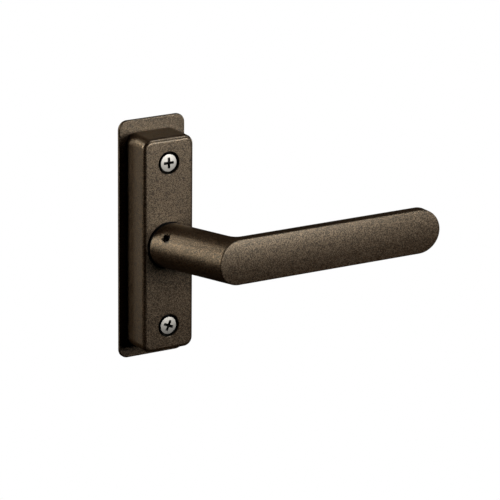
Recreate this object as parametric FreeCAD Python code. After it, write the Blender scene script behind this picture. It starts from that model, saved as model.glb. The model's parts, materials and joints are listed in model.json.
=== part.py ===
import FreeCAD, Part
import math
import os

# Lever handle trim for a narrow door stile: a leaning lever on a slim escutcheon with a back plate.
# Lengths are in millimetres. The origin lies on the spindle's axis in the face of the door.
# The lever points along +X and +Z is up. "Out" is the distance in front of the door, along -Y,
# so whatever lies inside the door has a negative out.

Vector = FreeCAD.Vector

# Back plate
plate_width = 36.6
plate_height = 120.7
plate_thickness = 1.5
plate_corner = 4.6
plate_edge = 0.6

# Escutcheon: a die casting, open at the back, that narrows a little towards its front face
escutcheon_depth = 16.4
front_width = 27.9
front_height = 107.6
escutcheon_draft = 0.25
escutcheon_corner = 4.6
escutcheon_edge = 2.0
escutcheon_wall = 2.0
front_wall = 2.4

# Mounting screws, one above and one below the lever
screw_spacing = 82.55
screw_radius = 2.4
screw_head_radius = 4.5
screw_head_height = 3.1
screw_head_dome = 0.35
screw_length = 31.75
screw_thread_radius = 2.15
screw_thread_length = 16.0
screw_point_chamfer = 0.8
screw_recess_span = 5.7
screw_recess_width = 1.4
screw_recess_depth = 2.6
upper_screw_turn = 0.0
lower_screw_turn = -24.0
screw_well_radius = 5.65
screw_well_chamfer = 0.3
screw_hole_radius = 2.65
screw_boss_wall = 1.9

# Driver recesses: their size at the floor as a share of their size at the mouth
recess_floor_span = 0.45
recess_floor_width = 0.7

# Plate screws, countersunk from behind, which close the escutcheon
plate_screw_radius = 1.5
plate_screw_head_radius = 2.6
plate_screw_head_height = 1.1
plate_screw_length = 8.0
plate_screw_recess_span = 3.0
plate_screw_recess_width = 0.8
plate_screw_recess_depth = 0.8
plate_screw_x = 8.6
plate_screw_z = 24.0
plate_screw_boss_wall = 1.5
plate_screw_point_room = 1.0

# Lever
lever_reach = 129.8
lever_standoff = 42.4
bar_thickness = 5.4
bar_crown = 0.8
bar_start = 14.6
grip_radius = 11.25
shank_flat = 0.4
bar_fillet = 8.0
bar_edge = 0.45
spigot_radius = 8.45
spigot_end_room = 0.2

# Set screw through the left side of the lever's shank
set_screw_angle = 45.0
set_screw_out = 8.7
set_screw_radius = 2.0
set_screw_length = 4.0
set_screw_socket = 2.0
set_screw_socket_depth = 1.8
set_screw_mouth = 0.45

# Square spindle
spindle_side = 8.0
spindle_grip = 12.0
spindle_tail = 22.0
spindle_chamfer = 0.8

# Bushes and washers
front_bush_wall = 1.5
front_bush_length = 5.0
front_bush_flange = 1.1
front_bush_flange_radius = 11.7
front_bush_edge = 0.25
bush_boss_wall = 2.0
rear_bush_wall = 1.0
rear_bush_flange = 1.0
rear_bush_flange_radius = 9.4
washer_inner_radius = 7.0
washer_outer_radius = 9.4
thrust_washer_thickness = 0.5
wave_washer_thickness = 0.3
wave_count = 3

# Spring hub
hub_journal_radius = 6.6
hub_drum_radius = 7.0
hub_drum_length = 6.8
hub_flange_thickness = 2.0
hub_flange_radius = 9.6
hub_arm_reach = 14.2
hub_arm_half_width = 2.2
hub_peg_radius = 1.5
hub_peg_length = 2.8
hub_pin_radius = 1.0
hub_pin_end_room = 0.2

# Return spring: legs that press the hub's peg and the anchor pin apart
spring_wire = 1.6
spring_coil_radius = 8.5
spring_turn_gap = 0.15
spring_flange_gap = 0.5
spring_whole_turns = 2
spring_leg_overhang = 2.4
spring_stretch = 120.0
peg_circle = 12.5

# Travel of the lever, and the pins that stop it
lever_travel = 45.0
stop_pin_radius = 1.5
stop_pin_circle = 12.0
stop_pin_length = 6.0
stop_boss_wall = 1.5
anchor_pin_length = 6.4

# Fits
running_gap = 0.05
turning_face_gap = 0.2
seat_gap = 0.02
stop_gap = 0.08
socket_gap = 0.05

# Places that follow from the sizes above
front_out = plate_thickness + escutcheon_depth
cavity_out = front_out - front_wall
screw_z = screw_spacing / 2
screw_seat_out = front_out - screw_head_height
bush_back_out = front_out - front_bush_length
bush_bore_radius = spigot_radius + running_gap
bush_outer_radius = bush_bore_radius + front_bush_wall
lever_base_out = front_out + front_bush_flange + turning_face_gap
bar_front_out = front_out + lever_standoff
bar_back_out = bar_front_out - bar_thickness
bar_end = lever_reach - grip_radius
lean = bar_start / (bar_front_out - lever_base_out)
crown_out = bar_front_out + bar_crown
crown_radius = (grip_radius ** 2 + bar_crown ** 2) / (2 * bar_crown)
rear_bush_face_out = plate_thickness + rear_bush_flange
rear_bore_radius = hub_journal_radius + running_gap
rear_bush_radius = rear_bore_radius + rear_bush_wall
drum_out = rear_bush_face_out + turning_face_gap
flange_out = drum_out + hub_drum_length
hub_front_out = flange_out + hub_flange_thickness
thrust_out = hub_front_out + turning_face_gap / 2
wave_out = thrust_out + thrust_washer_thickness
arm_rest_angle = 90.0 + lever_travel / 2
arm_limit_angle = 90.0 - lever_travel / 2
stop_boss_out = hub_front_out + turning_face_gap + thrust_washer_thickness
spring_pitch = spring_wire + spring_turn_gap
spring_front_out = flange_out - spring_flange_gap - spring_wire / 2
peg_clearance_radius = hub_peg_radius + spring_wire / 2 + running_gap
leg_angle = math.degrees(math.acos((spring_coil_radius + peg_clearance_radius) / peg_circle))
spring_start = arm_rest_angle + leg_angle


def radial(angle, radius):
    """Point in the plane of the door at an angle from +X towards +Z, as x and z."""
    turn = math.radians(angle)
    return radius * math.cos(turn), radius * math.sin(turn)


def cylinder(radius, start_out, end_out, x=0.0, z=0.0):
    """Round bar along the spindle's direction between two distances from the door."""
    return Part.makeCylinder(radius, end_out - start_out, Vector(x, -start_out, z), Vector(0, -1, 0))


def ring(inner, outer, start_out, end_out):
    """Flat or long ring about the spindle's axis."""
    return cylinder(outer, start_out, end_out).cut(cylinder(inner, start_out, end_out))


def cone(start_radius, end_radius, start_out, end_out, x=0.0, z=0.0):
    """Cone along the spindle's direction."""
    return Part.makeCone(start_radius, end_radius, end_out - start_out, Vector(x, -start_out, z),
                         Vector(0, -1, 0))


def rounded_outline(half_width, half_height, corner, out):
    """Rectangle with round corners, parallel to the door."""
    inner_x = half_width - corner
    inner_z = half_height - corner
    edges = []
    for sign_x, sign_z, start in ((1, 1, 0), (-1, 1, 90), (-1, -1, 180), (1, -1, 270)):
        centre = Vector(sign_x * inner_x, -out, sign_z * inner_z)
        circle = [centre + Vector(*flat(start + step, corner)) for step in (0, 45, 90)]
        if edges:
            edges.append(Part.makeLine(edges[-1].Vertexes[-1].Point, circle[0]))
        edges.append(Part.Arc(*circle).toShape())
    edges.append(Part.makeLine(edges[-1].Vertexes[-1].Point, edges[0].Vertexes[0].Point))
    return Part.Wire(edges)


def flat(angle, radius):
    """Step parallel to the door, as the three numbers of a vector."""
    x, z = radial(angle, radius)
    return x, 0.0, z


def edges_at(shape, out):
    """Edges that lie wholly at one distance from the door."""
    return [edge for edge in shape.Edges
            if abs(edge.BoundBox.YMin + out) < 1e-4 and abs(edge.BoundBox.YMax + out) < 1e-4]


def cross_recess(span, width, depth, mouth_out, turn, x, z, inward):
    """Cross-shaped driver recess whose four arms narrow to the bottom. Inward is +1 for a
    recess that is open towards the user and -1 for one that is open towards the door."""
    floor_span = recess_floor_span * span
    floor_width = recess_floor_width * width
    arms = []
    for arm_turn in (turn, turn + 90.0):
        along = Vector(*flat(arm_turn, 1.0))
        across = Vector(*flat(arm_turn + 90.0, 1.0))
        sections = []
        for share, length, arm_width in ((0.0, span, width), (1.0, floor_span, floor_width)):
            centre = Vector(x, -mouth_out + inward * share * depth, z)
            half_along = along * (length / 2)
            half_across = across * (arm_width / 2)
            corners = [centre + half_along + half_across, centre - half_along + half_across,
                       centre - half_along - half_across, centre + half_along - half_across]
            sections.append(Part.makePolygon(corners + corners[:1]))
        arms.append(Part.makeLoft(sections, True, True))
    return arms[0].fuse(arms[1])


def square_bar(side, turn, start_out, end_out):
    """Square bar on the spindle's axis, with one flat turned to face an angle."""
    corner_radius = side / math.sqrt(2)
    corners = [Vector(*flat(turn + 45.0 + 90.0 * quarter, corner_radius)) + Vector(0, -start_out, 0)
               for quarter in range(4)]
    face = Part.Face(Part.makePolygon(corners + corners[:1]))
    return face.extrude(Vector(0, start_out - end_out, 0))


def left_angle(angle):
    """Angle from -X upwards, turned into an angle from +X."""
    return 180.0 - angle


set_screw_turn = left_angle(set_screw_angle)
plate_screw_places = [(sign_x * plate_screw_x, sign_z * plate_screw_z)
                      for sign_z in (1, -1) for sign_x in (-1, 1)]


def stop_pin_place(arm_angle, side):
    """Where a stop pin stands beside the hub's arm; side is +1 for the arm's left flank."""
    x, z = radial(arm_angle, stop_pin_circle)
    step_x, step_z = radial(arm_angle + 90.0 * side, hub_arm_half_width + stop_pin_radius + stop_gap)
    return x + step_x, z + step_z


stop_pin_places = {"rest_stop_pin": stop_pin_place(arm_rest_angle, 1),
                   "travel_stop_pin": stop_pin_place(arm_limit_angle, -1)}
anchor_pin_place = radial(-arm_rest_angle, peg_circle)


def make_back_plate():
    """Flat plate against the door, with the holes for the bush, the screws and the anchor pin."""
    outline = rounded_outline(plate_width / 2, plate_height / 2, plate_corner, 0.0)
    plate = Part.Face(outline).extrude(Vector(0, -plate_thickness, 0))
    plate = plate.makeFillet(plate_edge, edges_at(plate, plate_thickness))
    cuts = [cylinder(rear_bush_radius + seat_gap, 0.0, plate_thickness)]
    for z in (screw_z, -screw_z):
        cuts.append(cylinder(screw_hole_radius, 0.0, plate_thickness, 0.0, z))
    for x, z in plate_screw_places:
        cuts.append(cylinder(plate_screw_radius + seat_gap, 0.0, plate_thickness, x, z))
        cuts.append(cone(plate_screw_head_radius + seat_gap, plate_screw_radius + seat_gap, 0.0,
                         plate_screw_head_height, x, z))
    cuts.append(cylinder(stop_pin_radius + seat_gap, 0.0, plate_thickness, *anchor_pin_place))
    return plate.cut(cuts)


def escutcheon_outline(out, inset):
    """Outline of the drafted casting at one height, set in by a wall's thickness."""
    widening = escutcheon_draft * (front_out - out) / escutcheon_depth
    corner = max(escutcheon_corner + widening - inset, escutcheon_edge)
    return rounded_outline(front_width / 2 + widening - inset, front_height / 2 + widening - inset,
                           corner, out)


def make_escutcheon():
    """Hollow casting with two screw bosses, a bush boss, four screw posts and two pin bosses."""
    outer = Part.makeLoft([escutcheon_outline(plate_thickness, 0.0), escutcheon_outline(front_out, 0.0)],
                          True, True)
    outer = outer.makeFillet(escutcheon_edge, edges_at(outer, front_out))
    inner = Part.makeLoft([escutcheon_outline(plate_thickness, escutcheon_wall),
                           escutcheon_outline(cavity_out, escutcheon_wall)], True, True)
    bosses = []
    for z in (screw_z, -screw_z):
        bosses.append(cylinder(screw_well_radius + screw_boss_wall, plate_thickness, cavity_out, 0.0, z))
    bosses.append(cylinder(bush_outer_radius + bush_boss_wall, bush_back_out, cavity_out))
    for x, z in plate_screw_places:
        bosses.append(cylinder(plate_screw_radius + plate_screw_boss_wall, plate_thickness, cavity_out, x, z))
    for x, z in stop_pin_places.values():
        bosses.append(cylinder(stop_pin_radius + stop_boss_wall, stop_boss_out, cavity_out, x, z))
    hollow = inner.cut(bosses)
    cuts = [hollow, cylinder(bush_outer_radius + seat_gap, bush_back_out, front_out)]
    for z in (screw_z, -screw_z):
        cuts.append(cylinder(screw_hole_radius, plate_thickness, screw_seat_out, 0.0, z))
        cuts.append(cylinder(screw_well_radius, screw_seat_out, front_out, 0.0, z))
        cuts.append(cone(screw_well_radius, screw_well_radius + screw_well_chamfer,
                         front_out - screw_well_chamfer, front_out, 0.0, z))
    screw_depth = plate_screw_length - plate_thickness + plate_screw_point_room
    for x, z in plate_screw_places:
        cuts.append(cylinder(plate_screw_radius + seat_gap, plate_thickness,
                             plate_thickness + screw_depth, x, z))
    pin_start = flange_out
    for x, z in stop_pin_places.values():
        cuts.append(cylinder(stop_pin_radius + seat_gap, stop_boss_out, pin_start + stop_pin_length, x, z))
    return outer.cut(cuts)


def make_front_bush():
    """Flanged bush that carries the lever's spigot; its flange shows as a dark ring."""
    sleeve = ring(bush_bore_radius, bush_outer_radius, bush_back_out, front_out)
    flange = ring(bush_bore_radius, front_bush_flange_radius, front_out, front_out + front_bush_flange)
    bush = sleeve.fuse(flange).removeSplitter()
    rim = [edge for edge in edges_at(bush, front_out + front_bush_flange)
           if edge.BoundBox.XMax > front_bush_flange_radius - 1e-3]
    return bush.makeChamfer(front_bush_edge, rim)


def make_rear_bush():
    """Flanged bush in the back plate that carries the hub's journal."""
    sleeve = ring(rear_bore_radius, rear_bush_radius, 0.0, plate_thickness)
    flange = ring(rear_bore_radius, rear_bush_flange_radius, plate_thickness, rear_bush_face_out)
    return sleeve.fuse(flange).removeSplitter()


grip_up = Vector(0, 0, grip_radius)
grip_side = Vector(grip_radius, 0, 0)


def grip_arc(centre, side):
    """Half circle of the grip's section, parallel to the door; side is +1 for the tip's side."""
    return Part.Arc(centre - grip_up, centre + grip_side * side, centre + grip_up)


def grip_wall(start, end, side):
    """Half-round wall between two half circles, upright or leaning."""
    return grip_arc(start, side).toShape().extrude(end - start)


def grip_face(left, right, left_side=-1):
    """Flat slot-shaped face between two half circles; its left end may curve inwards."""
    return Part.Face(Part.Wire([
        grip_arc(left, left_side).toShape(),
        Part.makeLine(left + grip_up, right + grip_up),
        grip_arc(right, 1).toShape(),
        Part.makeLine(right - grip_up, left - grip_up),
    ]))


def carried_wall(profile, path):
    """Surface that a profile leaves when it is carried along a path without turning: each pole is
    the sum of a pole of either curve, and each weight is the product of their weights."""
    across = profile.toBSpline()
    along = path.toBSpline()
    start = along.value(along.FirstParameter)
    poles = [[pole + step - start for step in along.getPoles()] for pole in across.getPoles()]
    weights = [[first * second for second in along.getWeights()] for first in across.getWeights()]
    wall = Part.BSplineSurface()
    wall.buildFromPolesMultsKnots(poles, across.getMultiplicities(), along.getMultiplicities(),
                                  across.getKnots(), along.getKnots(), False, False,
                                  across.Degree, along.Degree, weights)
    return wall.toShape()


def lever_blank():
    """Leaning shank that turns over an inner fillet into the flat bar. Every section parallel to the
    door is a slot of one height, so the skin is flat above and below and half-round at both ends.
    The bar's front face is a little crowned, highest along its middle."""
    base_left = Vector(0, -lever_base_out, 0)
    base_right = Vector(shank_flat, -lever_base_out, 0)
    front_left = Vector(lean * (crown_out - lever_base_out), -crown_out, 0)
    front_right = Vector(bar_end, -crown_out, 0)
    back_right = Vector(bar_end, -bar_back_out, 0)

    slope = math.atan(lean)
    fillet_out = bar_back_out - bar_fillet
    fillet_x = shank_flat + lean * (fillet_out - lever_base_out) + bar_fillet / math.cos(slope)
    fillet_points = []
    for turn in (slope, (slope + math.pi / 2) / 2, math.pi / 2):
        fillet_points.append(Vector(fillet_x - bar_fillet * math.cos(turn),
                                    -fillet_out - bar_fillet * math.sin(turn), 0))
    fillet_arc = Part.Arc(*fillet_points)
    fillet_start, _, fillet_end = fillet_points

    faces = [
        grip_face(base_left, base_right),
        grip_face(front_left, front_right),
        grip_face(fillet_end, back_right, 1),
        grip_wall(base_left, front_left, -1),
        grip_wall(base_right, fillet_start, 1),
        grip_wall(back_right, front_right, 1),
        carried_wall(grip_arc(fillet_start, 1), fillet_arc),
    ]
    for level in (grip_up, -grip_up):
        curve = fillet_arc.toShape()
        curve.translate(level)
        corners = [fillet_end, back_right, front_right, front_left, base_left, base_right, fillet_start]
        lines = [Part.makeLine(start + level, end + level) for start, end in zip(corners, corners[1:])]
        faces.append(Part.Face(Part.Wire([curve] + lines)))
    skin = Part.makeShell(faces)
    skin.sewShape()
    crown = Part.makeCylinder(crown_radius, lever_reach + 2 * grip_radius,
                              Vector(-grip_radius, crown_radius - crown_out, 0), Vector(1, 0, 0))
    blank = Part.Solid(skin).common(crown)
    rim = [edge for edge in blank.Edges if edge.BoundBox.YMax < -bar_front_out + 1e-3]
    return blank.makeFillet(bar_edge, rim)


def set_screw_line(start, end, radius, end_radius=None):
    """Round bar along the set screw's axis between two distances from the spindle's axis."""
    direction = Vector(*flat(set_screw_turn, 1.0))
    base = Vector(0, -(front_out + set_screw_out), 0) + direction * start
    if end_radius is None:
        return Part.makeCylinder(radius, end - start, base, direction)
    return Part.makeCone(radius, end_radius, end - start, base, direction)


def shank_surface():
    """Distance from the spindle's axis to the shank's skin along the set screw."""
    centre_x = lean * (front_out + set_screw_out - lever_base_out)
    cos_turn = math.cos(math.radians(set_screw_turn))
    sin_turn = math.sin(math.radians(set_screw_turn))
    return centre_x * cos_turn + math.sqrt(grip_radius ** 2 - (centre_x * sin_turn) ** 2)


def make_lever():
    """One casting: spigot in the bush, leaning shank with a square socket, and the flat bar."""
    spigot = cylinder(spigot_radius, bush_back_out + spigot_end_room, lever_base_out)
    lever = lever_blank().fuse(spigot)
    socket = square_bar(spindle_side + 2 * socket_gap, set_screw_turn, bush_back_out,
                        front_out + spindle_grip + spindle_chamfer)
    skin = shank_surface()
    mouth = set_screw_line(skin - set_screw_mouth, skin + set_screw_mouth, set_screw_radius + seat_gap,
                           set_screw_radius + 2 * set_screw_mouth)
    return lever.cut([socket, set_screw_line(0.0, skin + set_screw_radius, set_screw_radius + seat_gap),
                      mouth])


def make_set_screw():
    """Headless screw with a hexagon socket that clamps the lever on the spindle's flat."""
    start = spindle_side / 2
    screw = set_screw_line(start, start + set_screw_length, set_screw_radius)
    direction = Vector(*flat(set_screw_turn, 1.0))
    across = Vector(*flat(set_screw_turn + 90.0, 1.0))
    axis = Vector(0, -1, 0)
    centre = Vector(0, -(front_out + set_screw_out), 0) + direction * (start + set_screw_length)
    corner_radius = set_screw_socket / math.sqrt(3)
    corners = []
    for step in range(6):
        turn = math.radians(60.0 * step)
        corners.append(centre + across * corner_radius * math.cos(turn) + axis * corner_radius * math.sin(turn))
    socket = Part.Face(Part.makePolygon(corners + corners[:1])).extrude(direction * -set_screw_socket_depth)
    return screw.cut(socket)


def hub_pin_hole(radius, reach):
    """Round bar across the hub and the spindle, square to one of the spindle's flats."""
    direction = Vector(*flat(set_screw_turn + 90.0, 1.0))
    pin_out = drum_out + hub_drum_length / 2
    return Part.makeCylinder(radius, 2 * reach, Vector(0, -pin_out, 0) - direction * reach, direction)


def make_spindle():
    """Square bar from the lever's socket through the hub to the latch in the door."""
    front = front_out + spindle_grip
    bar = square_bar(spindle_side, set_screw_turn, -spindle_tail, front)
    bar = bar.makeChamfer(spindle_chamfer, edges_at(bar, -spindle_tail) + edges_at(bar, front))
    return bar.cut(hub_pin_hole(hub_pin_radius + seat_gap, spindle_side))


def hub_arm(reach):
    """Arm of the hub, from its axis to a reach, at the angle where the lever rests."""
    along = Vector(*flat(arm_rest_angle, 1.0))
    across = Vector(*flat(arm_rest_angle + 90.0, hub_arm_half_width))
    base = Vector(0, -flange_out, 0)
    corners = [base - across, base + along * reach - across, base + along * reach + across, base + across]
    return Part.Face(Part.makePolygon(corners + corners[:1])).extrude(Vector(0, -hub_flange_thickness, 0))


def make_spring_hub():
    """Turned hub on the spindle: journal, spring drum, flange with a stop arm, and the spring's peg."""
    hub = cylinder(hub_journal_radius, 0.0, drum_out)
    hub = hub.fuse([cylinder(hub_drum_radius, drum_out, flange_out),
                    cylinder(hub_flange_radius, flange_out, hub_front_out), hub_arm(hub_arm_reach),
                    cylinder(hub_peg_radius, flange_out - hub_peg_length, flange_out,
                             *radial(arm_rest_angle, peg_circle))])
    bore = square_bar(spindle_side + 2 * socket_gap, set_screw_turn, 0.0, hub_front_out)
    return hub.removeSplitter().cut([bore, hub_pin_hole(hub_pin_radius + seat_gap, hub_drum_radius + 1.0)])


def make_hub_pin():
    """Pin that ties the hub to the spindle."""
    return hub_pin_hole(hub_pin_radius, hub_drum_radius - hub_pin_end_room)


def spring_point(turn):
    """Point on the middle of the spring's wire after a turn of the coil from its front end."""
    out = spring_front_out - spring_pitch * turn / 360.0
    return Vector(*flat(spring_start + turn, spring_coil_radius)) + Vector(0, -out, 0)


def spring_heading(turn):
    """Direction of the wire after a turn of the coil, as a unit vector."""
    rise = spring_pitch / (2 * math.pi * spring_coil_radius)
    return (Vector(*flat(spring_start + turn + 90.0, 1.0)) + Vector(0, rise, 0)).normalize()


def spring_coil(turn, length):
    """Stretch of the coil's middle line, of one length of turn, as a helix about the spindle."""
    helix = Part.makeHelix(spring_pitch, spring_pitch * length / 360.0, spring_coil_radius, 0.0, True)
    facing = Vector(*flat(spring_start + turn, 1.0))
    across = Vector(*flat(spring_start + turn - 90.0, 1.0))
    place = Vector(0, spring_pitch * turn / 360.0 - spring_front_out, 0)
    helix.Placement = FreeCAD.Placement(place, FreeCAD.Rotation(facing, across, Vector(0, 1, 0), "ZXY"))
    return helix.Edges


def make_return_spring():
    """Torsion spring of square wire: a coil round the hub's drum, between two straight legs. One leg
    runs inside the hub's peg and the other inside the anchor pin."""
    total_turn = 360.0 * spring_whole_turns + 2 * (180.0 - spring_start)
    leg = peg_circle * math.sin(math.radians(leg_angle)) + spring_leg_overhang
    stretches = math.ceil(total_turn / spring_stretch)
    length = total_turn / stretches
    tip = spring_point(0.0) - spring_heading(0.0) * leg
    tail = spring_point(total_turn) + spring_heading(total_turn) * leg
    edges = [Part.makeLine(tip, spring_point(0.0))]
    for stretch in range(stretches):
        edges += spring_coil(stretch * length, length)
    edges.append(Part.makeLine(spring_point(total_turn), tail))
    side = Vector(*flat(spring_start, spring_wire / 2))
    level = spring_heading(0.0).cross(side)
    corners = [tip + side + level, tip - side + level, tip - side - level, tip + side - level]
    section = Part.makePolygon(corners + corners[:1])
    return Part.Wire(edges).makePipeShell([section], True, True)


def make_wave_washer():
    """Thin ring with waves that takes up the play between the thrust washer and the bush."""
    room = bush_back_out - wave_out
    height = (room - wave_washer_thickness) / 2 - seat_gap
    middle = (bush_back_out + wave_out) / 2
    points_per_wave = 4
    count = points_per_wave * wave_count
    wires = []
    for radius in (washer_inner_radius, washer_outer_radius):
        points = []
        for step in range(count):
            angle = 360.0 * step / count
            x, z = radial(angle, radius)
            points.append(Vector(x, -(middle + height * math.cos(math.radians(angle * wave_count))), z))
        curve = Part.BSplineCurve()
        curve.interpolate(points, True)
        wires.append(Part.Wire(curve.toShape()))
    face = Part.makeRuledSurface(wires[0], wires[1])
    shift = Vector(0, wave_washer_thickness / 2, 0)
    face.translate(shift)
    return face.extrude(Vector(0, -wave_washer_thickness, 0))


def make_mounting_screw(z, turn):
    """Machine screw with a plain shank, a threaded end, a low domed head and a cross recess."""
    end_out = screw_seat_out - screw_length
    thread_out = end_out + screw_thread_length
    point_out = end_out + screw_point_chamfer
    shank = cylinder(screw_radius, thread_out, screw_seat_out, 0.0, z)
    thread = cylinder(screw_thread_radius, point_out, thread_out, 0.0, z)
    point = cone(screw_thread_radius - screw_point_chamfer, screw_thread_radius, end_out, point_out, 0.0, z)
    head_side = screw_seat_out + screw_head_height - screw_head_dome
    head = cylinder(screw_head_radius, screw_seat_out, head_side, 0.0, z)
    dome_radius = (screw_head_radius ** 2 + screw_head_dome ** 2) / (2 * screw_head_dome)
    ball = Part.makeSphere(dome_radius, Vector(0.0, -(head_side + screw_head_dome - dome_radius), z))
    cap = ball.common(cylinder(screw_head_radius, head_side, head_side + 2 * screw_head_dome, 0.0, z))
    recess = cross_recess(screw_recess_span, screw_recess_width, screw_recess_depth,
                          front_out, turn, 0.0, z, 1)
    return shank.fuse([thread, point, head, cap]).removeSplitter().cut(recess)


def make_plate_screw(x, z):
    """Small countersunk screw, driven from behind the plate into a post of the escutcheon."""
    head = cone(plate_screw_head_radius, plate_screw_radius, 0.0, plate_screw_head_height, x, z)
    shank = cylinder(plate_screw_radius, plate_screw_head_height, plate_screw_length, x, z)
    recess = cross_recess(plate_screw_recess_span, plate_screw_recess_width, plate_screw_recess_depth,
                          0.0, 45.0, x, z, -1)
    return head.fuse(shank).removeSplitter().cut(recess)


def make_parts():
    """Every separate piece by its name."""
    parts = {
        "back_plate": make_back_plate(),
        "escutcheon": make_escutcheon(),
        "front_bush": make_front_bush(),
        "rear_bush": make_rear_bush(),
        "lever": make_lever(),
        "set_screw": make_set_screw(),
        "spindle": make_spindle(),
        "spring_hub": make_spring_hub(),
        "hub_pin": make_hub_pin(),
        "return_spring": make_return_spring(),
        "thrust_washer": ring(washer_inner_radius, washer_outer_radius, thrust_out, wave_out),
        "wave_washer": make_wave_washer(),
        "anchor_pin": cylinder(stop_pin_radius, 0.0, anchor_pin_length, *anchor_pin_place),
        "mounting_screw_upper": make_mounting_screw(screw_z, upper_screw_turn),
        "mounting_screw_lower": make_mounting_screw(-screw_z, lower_screw_turn),
    }
    for name, (x, z) in stop_pin_places.items():
        parts[name] = cylinder(stop_pin_radius, flange_out, flange_out + stop_pin_length, x, z)
    for number, (x, z) in enumerate(plate_screw_places, 1):
        parts["plate_screw_%d" % number] = make_plate_screw(x, z)
    return parts


os.makedirs("parts", exist_ok=True)
for name, shape in make_parts().items():
    shape.exportStep("parts/%s.step" % name)
    print("%-22s solids %d valid %s volume %.1f" % (name, len(shape.Solids), shape.isValid(), shape.Volume))
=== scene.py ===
import json
import math
from functools import cached_property

import bpy
from mathutils import Matrix, Vector


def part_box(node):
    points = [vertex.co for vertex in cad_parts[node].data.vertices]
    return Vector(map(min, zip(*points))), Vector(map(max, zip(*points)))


# Looks of a door lever handle on a slim escutcheon: its coats and metals, the studio and the camera.
# Lengths are in metres in the model's own frame: +X towards the lever's tip, +Z up, and the user on -Y.
# The door's face is the plane Y = 0, and a way out is a distance from it towards the user.

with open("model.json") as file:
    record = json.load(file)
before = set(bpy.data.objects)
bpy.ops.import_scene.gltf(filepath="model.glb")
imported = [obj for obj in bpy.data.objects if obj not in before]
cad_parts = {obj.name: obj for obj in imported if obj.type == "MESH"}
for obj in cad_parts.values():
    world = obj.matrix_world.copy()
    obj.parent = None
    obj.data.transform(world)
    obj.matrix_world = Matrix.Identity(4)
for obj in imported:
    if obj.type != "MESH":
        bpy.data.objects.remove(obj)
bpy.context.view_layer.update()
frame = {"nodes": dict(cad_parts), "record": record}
MM = 0.001

# The camera, fitted to the photograph's outlines, with its angles in radians. The spindle's axis meets
# the escutcheon's front face at SPINDLE_PIXEL of a picture PICTURE_PIXELS wide and high.
PICTURE_PIXELS = 500
SENSOR_MM = 36.0
FOCAL_PIXELS = 3614.889
CAMERA_AZIMUTH = math.radians(-31.451)
CAMERA_ELEVATION = math.radians(16.961)
CAMERA_ROLL = math.radians(0.531)
CAMERA_DISTANCE = 1.7577
CAMERA_SIGHT = 100.0
SPINDLE_PIXEL = (168.833, 244.848)
FRONT_FACE_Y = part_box("escutcheon")[0].y

# The mounting screws: how far their axes lie above and below the spindle's axis, the radius of the wells
# that they sit in, how far out the wells' floors and walls reach, and the sphere of the heads' domes.
# What lies more than RECESS_MARGIN under a dome is recess, and what lies outside SCREW_RIM_RADIUS is rim.
# The walls of the wells, and the screws' recesses and rims, are painted black as shade.
SCREW_HEIGHT = 0.082550 / 2
WELL_RADIUS = 0.00575
WELL_FLOOR_OUT = 0.0140
WELL_WALL_OUT = 0.01765
DOME_RADIUS = 0.02910
DOME_CENTRE_OUT = -0.01120
RECESS_MARGIN = 0.00005
SCREW_RIM_RADIUS = 0.00428

# The paint: the sizes of its grains, of the fine noise that blurs and roughens them and of the clouds in
# its gloss, the height of its skin's relief, and how strongly dark and pale grains show in its colour.
GRAIN_SIZE = 0.33 * MM
FINE_SIZE = 0.30 * MM
CLOUD_SIZE = 4 * MM
SKIN_RELIEF = 0.03 * MM
DARK_SHARE = 0.9
PALE_SHARE = 0.42

# Height of the relief on worked metal and moulded plastic
TOOL_RELIEF = 0.01 * MM

# Colours, as linear light
BRONZE = (0.024, 0.008, 0.0005)
BRONZE_DEEP = (0.003, 0.001, 0.000)
BRONZE_GRAIN = (0.30, 0.24, 0.17)
BRONZE_SHEEN = (1.0, 0.89, 0.68)
# Painted shade: the near-black of the wells' walls and of the screws' recesses and rims.
PAINTED_SHADE_BLACK = (0.003, 0.003, 0.003)
BLACK_NYLON = (0.0012, 0.0010, 0.0009)
PALE_ACETAL = (0.62, 0.60, 0.55)
STAINLESS = (0.48, 0.46, 0.42)
ZINC = (0.55, 0.56, 0.57)
SINTERED = (0.25, 0.245, 0.24)
SPRING = (0.30, 0.30, 0.31)
BLACK_OXIDE = (0.035, 0.034, 0.033)
PALE_FLOOR = (0.80, 0.80, 0.80)
CLOTH_BLACK = (0.002, 0.002, 0.002)
WHITE = (1.0, 1.0, 1.0)
WARM = (1.0, 0.93, 0.82)

# The studio: a square floor, and black cloth from CLOTH_FOOT up to CLOTH_REACH, which it also reaches to
# each side. WORLD_GLOW is what the white world gives as light.
FLOOR_SIDE = 30.0
FLOOR_HEIGHT = -0.60
CLOTH_REACH = 1.5
CLOTH_FOOT = -0.55
WORLD_GLOW = 0.02

# The soft lights: name, azimuth and elevation in degrees, side, radiance and colour. An azimuth counts
# from the user's side towards the lever's tip.
LAMP_DISTANCE = 0.65
LAMP_SIDE = 0.20
FILL_SIDE = 0.30
LAMPS = (
    ("key", 24, 8, LAMP_SIDE, 23.0, WHITE),
    ("over", 60, 60, LAMP_SIDE, 12.0, WHITE),
    ("rim", -121, 16, LAMP_SIDE, 17.5, WARM),
    ("rim_high", -136, 34, LAMP_SIDE, 12.5, WARM),
    ("rim_side", -106, 0, LAMP_SIDE, 4.5, WARM),
    ("rim_low", -152, -15, LAMP_SIDE, 0.9, WARM),
    ("back", 105, 5, FILL_SIDE, 5.0, WHITE),
)


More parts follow.
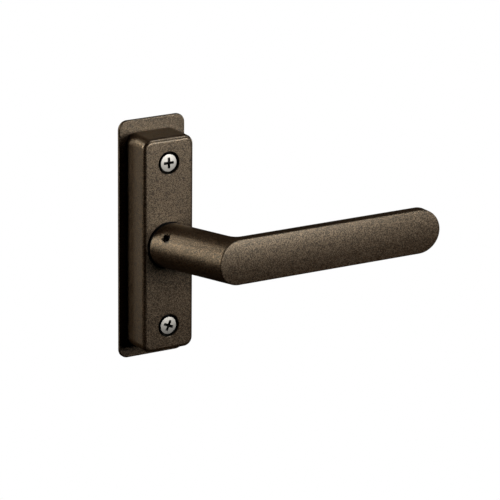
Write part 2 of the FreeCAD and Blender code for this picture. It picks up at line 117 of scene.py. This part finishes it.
class Signal:
    """One output of a recipe's nodes. Arithmetic on it adds Math nodes."""

    def __init__(self, recipe, socket):
        self.recipe = recipe
        self.socket = socket

    def _math(self, operation, first, second):
        return self.recipe.node("ShaderNodeMath", {"operation": operation}, {0: first, 1: second})

    def __add__(self, other):
        return self._math("ADD", self, other)

    def __sub__(self, other):
        return self._math("SUBTRACT", self, other)

    def __rsub__(self, other):
        return self._math("SUBTRACT", other, self)

    def __mul__(self, other):
        return self._math("MULTIPLY", self, other)

    def __lt__(self, other):
        return self._math("LESS_THAN", self, other)

    def __gt__(self, other):
        return self._math("GREATER_THAN", self, other)

    def __or__(self, other):
        return self._math("MAXIMUM", self, other)

    __radd__ = __add__
    __rmul__ = __mul__


class Recipe:
    """A tree of nodes that is being put together."""

    def __init__(self, tree):
        self.tree = tree
        self.tree.nodes.clear()

    def node(self, kind, settings=None, sockets=None, output=0):
        """Adds a node: first its settings, a ramp's stops among them, and then its sockets."""
        made = self.tree.nodes.new(kind)
        for name, value in (settings or {}).items():
            if name == "stops":
                self._set_stops(made.color_ramp, value)
            else:
                setattr(made, name, value)
        for name, value in (sockets or {}).items():
            if isinstance(value, Signal):
                self.tree.links.new(value.socket, made.inputs[name])
            else:
                made.inputs[name].default_value = value
        return Signal(self, made.outputs[output]) if made.outputs else None

    @staticmethod
    def _set_stops(ramp, stops):
        while len(ramp.elements) < len(stops):
            ramp.elements.new(0.5)
        for element, (position, shade) in zip(ramp.elements, stops):
            element.position = position
            element.color = (shade, shade, shade, 1.0)

    def seen(self):
        """1 where something is seen straight, in gloss or through glass, and 0 where it gives light."""
        kinds = ("Is Camera Ray", "Is Glossy Ray", "Is Transmission Ray")
        straight, gloss, glass = (self.node("ShaderNodeLightPath", output=kind) for kind in kinds)
        return straight + gloss + glass


class Finish(Recipe):
    """A material that is being put together. Its patterns lie still in the model's own frame."""

    def __init__(self, name):
        self.material = bpy.data.materials.new(name)
        self.material.use_nodes = True
        super().__init__(self.material.node_tree)

    @cached_property
    def place(self):
        return self.node("ShaderNodeTexCoord", output="Object")

    def coordinate(self, axis):
        return self.node("ShaderNodeSeparateXYZ", sockets={0: self.place}, output=axis)

    def noise(self, size, detail=2.0):
        """Grey noise whose blotches are about one size across, in metres."""
        sockets = {"Vector": self.place, "Scale": 1.0 / size, "Detail": detail}
        return self.node("ShaderNodeTexNoise", sockets=sockets)

    def cells(self, size):
        """Grains about one size across, in metres, each of its own even grey."""
        sockets = {"Vector": self.place, "Scale": 1.0 / size}
        return self.node("ShaderNodeTexVoronoi", sockets=sockets, output="Color")

    def ramp(self, value, *stops):
        """Value passed through a ramp of (position, grey) stops."""
        return self.node("ShaderNodeValToRGB", {"stops": stops}, {0: value})

    def blend(self, share, first, second):
        """Colour between two colours, each a signal or three numbers. The Mix node keeps its colour
        sockets at places 6 and 7 and its colour output at place 2."""
        first, second = (value if isinstance(value, Signal) else (*value, 1.0) for value in (first, second))
        return self.node("ShaderNodeMix", {"data_type": "RGBA"}, {"Factor": share, 6: first, 7: second}, 2)

    def bump(self, height, distance, strength=1.0):
        """Normal of a relief whose height of 1 stands for one distance, in metres."""
        sockets = {"Height": height, "Distance": distance, "Strength": strength}
        return self.node("ShaderNodeBump", sockets=sockets)

    def surface(self, **sockets):
        """Ends the finish with one principled surface."""
        sockets = {name.replace("_", " "): value for name, value in sockets.items()}
        return self.end(self.node("ShaderNodeBsdfPrincipled", sockets=sockets))

    def end(self, shader):
        self.node("ShaderNodeOutputMaterial", sockets={"Surface": shader})
        return self.material


def way_out(finish):
    """Distance out from the door's face."""
    return 0.0 - finish.coordinate("Y")


def off_screw_axis(finish):
    """Squared distance from the nearer mounting screw's axis."""
    side = finish.coordinate("X")
    height = finish.node("ShaderNodeMath", {"operation": "ABSOLUTE"}, {0: finish.coordinate("Z")})
    rise = height - SCREW_HEIGHT
    return side * side + rise * rise


def dimmed(colour, share):
    """Colour at a share of its brightness."""
    return tuple(share * channel for channel in colour)


def bronze_coat():
    """Dark bronze paint: a deep brown, strewn with fine metallic grains and dark ones, under a satin skin
    whose fine relief breaks up its gloss. The walls of the screws' wells get painted shade, near-black and
    dull."""
    coat = Finish("bronze_coat")
    grain = coat.cells(GRAIN_SIZE)
    fine = coat.noise(FINE_SIZE, detail=1.0)
    cloud = coat.noise(CLOUD_SIZE, detail=3.0)
    mix = 0.75 * grain + 0.25 * fine
    pale = coat.ramp(mix, (0.50, 0.0), (0.66, 1.0))
    dark = coat.ramp(mix, (0.34, 1.0), (0.50, 0.0))
    brown = coat.blend(dark * DARK_SHARE, BRONZE, BRONZE_DEEP)
    brown = coat.blend(pale * PALE_SHARE, brown, BRONZE_GRAIN)
    out = way_out(coat)
    # Painted shade: the wells' walls round the screws are painted near-black and made dull.
    well_painted_shade = (off_screw_axis(coat) < WELL_RADIUS ** 2) * (out > WELL_FLOOR_OUT) * (out < WELL_WALL_OUT)
    return coat.surface(
        Base_Color=coat.blend(well_painted_shade, brown, PAINTED_SHADE_BLACK),
        Metallic=pale,
        Roughness=0.25 + 0.20 * grain + 0.03 * cloud + 0.5 * well_painted_shade,
        Specular_Tint=(*BRONZE_SHEEN, 1.0),
        Normal=coat.bump(fine, SKIN_RELIEF))


def screw_steel():
    """Bright stainless steel, brushed by handling, whose driver recess and rim get painted shade, black and
    dull.
    """
    steel = Finish("bright_screw")
    blotch = steel.noise(0.8 * MM, detail=3.0)
    across = off_screw_axis(steel)
    out = way_out(steel)
    rise = out - DOME_CENTRE_OUT
    # Painted shade: the recess and the rim of the head, out past the well's floor, are painted black and
    # dull.
    recess = across + rise * rise < (DOME_RADIUS - RECESS_MARGIN) ** 2
    rim = across > SCREW_RIM_RADIUS ** 2
    painted_shade = (recess | rim) * (out > WELL_FLOOR_OUT)
    bright = steel.blend(blotch * 0.5, STAINLESS, dimmed(STAINLESS, 0.7))
    return steel.surface(
        Base_Color=steel.blend(painted_shade, bright, PAINTED_SHADE_BLACK),
        Metallic=1.0 - painted_shade,
        Roughness=0.48 + 0.10 * blotch + 0.3 * painted_shade,
        Normal=steel.bump(steel.noise(0.25 * MM), TOOL_RELIEF, strength=0.5))


def moulded(name, colour, roughness, gloss=0.5):
    """Moulded acetal or nylon: an even colour with faint flow marks and a matt skin."""
    plastic = Finish(name)
    flow = plastic.noise(3 * MM, detail=3.0)
    return plastic.surface(
        Base_Color=plastic.blend(flow * 0.3, colour, dimmed(colour, 0.7)),
        Roughness=roughness + 0.1 * flow,
        Specular_IOR_Level=gloss,
        Normal=plastic.bump(plastic.noise(0.2 * MM), TOOL_RELIEF, strength=0.3))


def bare_metal(name, colour, roughness, grain=0.25):
    """Plated, sintered or drawn metal: small blotches in tone and gloss over a finely worked skin."""
    metal = Finish(name)
    blotch = metal.noise(1.5 * MM, detail=4.0)
    return metal.surface(
        Base_Color=metal.blend(blotch * grain, colour, dimmed(colour, 0.6)),
        Metallic=1.0,
        Roughness=roughness + 0.12 * blotch,
        Normal=metal.bump(metal.noise(0.12 * MM), TOOL_RELIEF, strength=0.4))


def lit_white(name, colour):
    """Pale matt surface that shows as plain white to the eye, and in gloss and glass."""
    white = Finish(name)
    matt = white.node("ShaderNodeBsdfDiffuse", sockets={"Color": (*colour, 1.0)})
    glow = white.node("ShaderNodeEmission", sockets={"Color": (*WHITE, 1.0), "Strength": 1.0})
    return white.end(white.node("ShaderNodeMixShader", sockets={0: white.seen(), 1: matt, 2: glow}))


def dull_black(name, colour):
    """Black cloth with no gloss."""
    cloth = Finish(name)
    return cloth.end(cloth.node("ShaderNodeBsdfDiffuse", sockets={"Color": (*colour, 1.0)}))


def dress_nodes():
    """Gives every piece of the model the finish of its material slot."""
    finishes = {
        "bronze_coat": bronze_coat(),
        "black_acetal": moulded("black_acetal", BLACK_NYLON, 0.55, gloss=0.06),
        "natural_acetal": moulded("natural_acetal", PALE_ACETAL, 0.40),
        "black_steel": bare_metal("black_steel", BLACK_OXIDE, 0.40),
        "plated_steel": bare_metal("plated_steel", ZINC, 0.25),
        "sintered_steel": bare_metal("sintered_steel", SINTERED, 0.45, grain=0.6),
        "spring_steel": bare_metal("spring_steel", SPRING, 0.28),
        "bright_screw": screw_steel(),
    }
    slots = {row["node"]: row["material_slot"] for row in frame["record"]["subparts"]}
    for name, piece in frame["nodes"].items():
        piece.data.materials.clear()
        piece.data.materials.append(finishes[slots[name]])


def studio_piece(name, corners, faces, finish):
    """Piece of the studio with flat faces, given by its corners in the model's own frame."""
    mesh = bpy.data.meshes.new(name)
    mesh.from_pydata(corners, [], faces)
    mesh.materials.append(finish)
    piece = bpy.data.objects.new(name, mesh)
    bpy.context.scene.collection.objects.link(piece)
    return piece


def lay_floor():
    """Plain pale floor, well below the part, which hangs on its door's face."""
    half = FLOOR_SIDE / 2
    corners = [(x, y, FLOOR_HEIGHT) for x, y in ((-half, -half), (half, -half), (half, half), (-half, half))]
    studio_piece("floor", corners, [(0, 1, 2, 3)], lit_white("floor_white", PALE_FLOOR))


def hang_black_cloth():
    """Black cloth round the set, out of the camera's sight, which keeps the coat's gloss dark."""
    ends = (-CLOTH_REACH, CLOTH_REACH)
    corners = [(x, y, z) for x in ends for y in ends for z in (CLOTH_FOOT, CLOTH_REACH)]
    sides = [(0, 1, 3, 2), (4, 6, 7, 5), (0, 4, 5, 1), (2, 3, 7, 6), (0, 2, 6, 4), (1, 5, 7, 3)]
    cloth = studio_piece("black_cloth", corners, sides, dull_black("black_cloth", CLOTH_BLACK))
    cloth.visible_camera = False
    cloth.visible_shadow = False


def direction(turn, lift):
    """Unit vector away from the part at an azimuth and an elevation, both in radians."""
    return Vector((math.sin(turn) * math.cos(lift), -math.cos(turn) * math.cos(lift), math.sin(lift)))


def soft_box(name, azimuth, elevation, side, radiance, colour):
    """Square soft light that shines at the part. Its power is its radiance times its area times pi."""
    away = direction(math.radians(azimuth), math.radians(elevation))
    lamp = bpy.data.lights.new(name, "AREA")
    lamp.shape = "SQUARE"
    lamp.size = side
    lamp.energy = radiance * math.pi * side ** 2
    lamp.color = colour
    box = bpy.data.objects.new(name, lamp)
    box.location = LAMP_DISTANCE * away
    box.rotation_euler = away.to_track_quat("Z", "Y").to_euler()
    bpy.context.scene.collection.objects.link(box)


def light_studio():
    """Key light at the front right, one on the right from above, warm rim lights at the left from behind
    the plate, and a fill light at the lever's tip. The world shows white, but hardly lights anything."""
    for lamp in LAMPS:
        soft_box(*lamp)
    world = bpy.data.worlds.new("studio")
    world.use_nodes = True
    sky = Recipe(world.node_tree)
    strength = sky.seen() | WORLD_GLOW
    white = sky.node("ShaderNodeBackground", sockets={"Color": (*WHITE, 1.0), "Strength": strength})
    sky.node("ShaderNodeOutputWorld", sockets={"Surface": white})
    bpy.context.scene.world = world


def place_camera():
    """Camera whose axes follow from its azimuth, elevation and roll, and whose place follows from
    where the spindle's axis lies in the picture."""
    back = direction(CAMERA_AZIMUTH, CAMERA_ELEVATION)
    level = Vector((math.cos(CAMERA_AZIMUTH), math.sin(CAMERA_AZIMUTH), 0.0))
    upright = back.cross(level)
    right = level * math.cos(CAMERA_ROLL) + upright * math.sin(CAMERA_ROLL)
    up = upright * math.cos(CAMERA_ROLL) - level * math.sin(CAMERA_ROLL)
    centre = PICTURE_PIXELS / 2
    across, down = ((pixel - centre) / FOCAL_PIXELS for pixel in SPINDLE_PIXEL)
    mark = Vector((0.0, FRONT_FACE_Y, 0.0))
    place = mark - CAMERA_DISTANCE * (across * right - down * up - back)
    data = bpy.data.cameras.new("camera")
    data.sensor_width = SENSOR_MM
    data.lens = FOCAL_PIXELS * SENSOR_MM / PICTURE_PIXELS
    data.clip_end = CAMERA_SIGHT
    camera = bpy.data.objects.new("camera", data)
    bpy.context.scene.collection.objects.link(camera)
    camera.matrix_world = Matrix.Translation(place) @ Matrix((right, up, back)).transposed().to_4x4()
    bpy.context.scene.camera = camera


dress_nodes()
lay_floor()
hang_black_cloth()
light_studio()
place_camera()
bpy.context.scene.view_settings.view_transform = "Standard"
